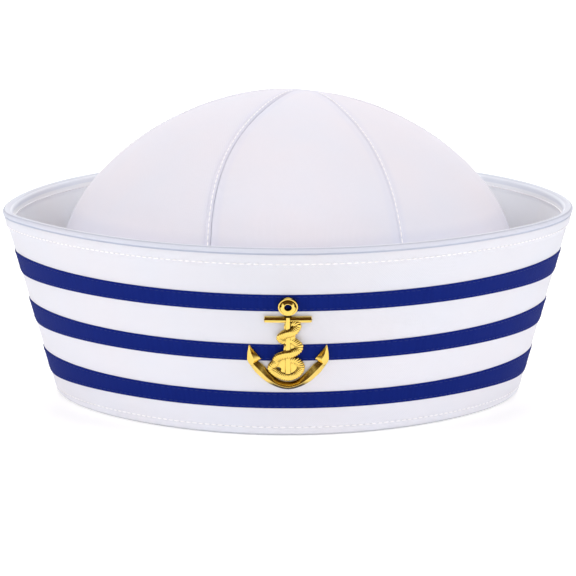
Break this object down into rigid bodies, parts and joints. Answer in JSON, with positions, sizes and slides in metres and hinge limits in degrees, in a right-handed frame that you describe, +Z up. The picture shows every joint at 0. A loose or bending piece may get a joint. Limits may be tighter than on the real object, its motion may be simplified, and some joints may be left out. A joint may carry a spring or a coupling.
{
  "type": "sailor cap",
  "caption": "Round sailor cap: domed crown of sewn gores inside a stiff turned-up brim with navy tapes and a gilt anchor badge.",
  "frame": {"origin": "middle of the brim's bottom fold, on the surface the cap rests on", "axes": "+Z up through the crown, -Y towards the front of the cap where the badge is, +X to the right seen from the front"},
  "size_m": [0.2318, 0.2596, 0.1225],
  "materials": {
    "cloth": "white cotton twill",
    "tape": "navy woven tape",
    "gilt": "polished gilt"
  },
  "bodies": {
    "root": {"brim": "cloth", "gore_front_left": "cloth", "gore_front": "cloth", "gore_front_right": "cloth", "gore_back_right": "cloth", "gore_back": "cloth", "gore_back_left": "cloth", "tape_low": "tape", "tape_middle": "tape", "tape_high": "tape", "anchor_badge": "gilt", "badge_pin": "gilt"}
  },
  "joints": []
}
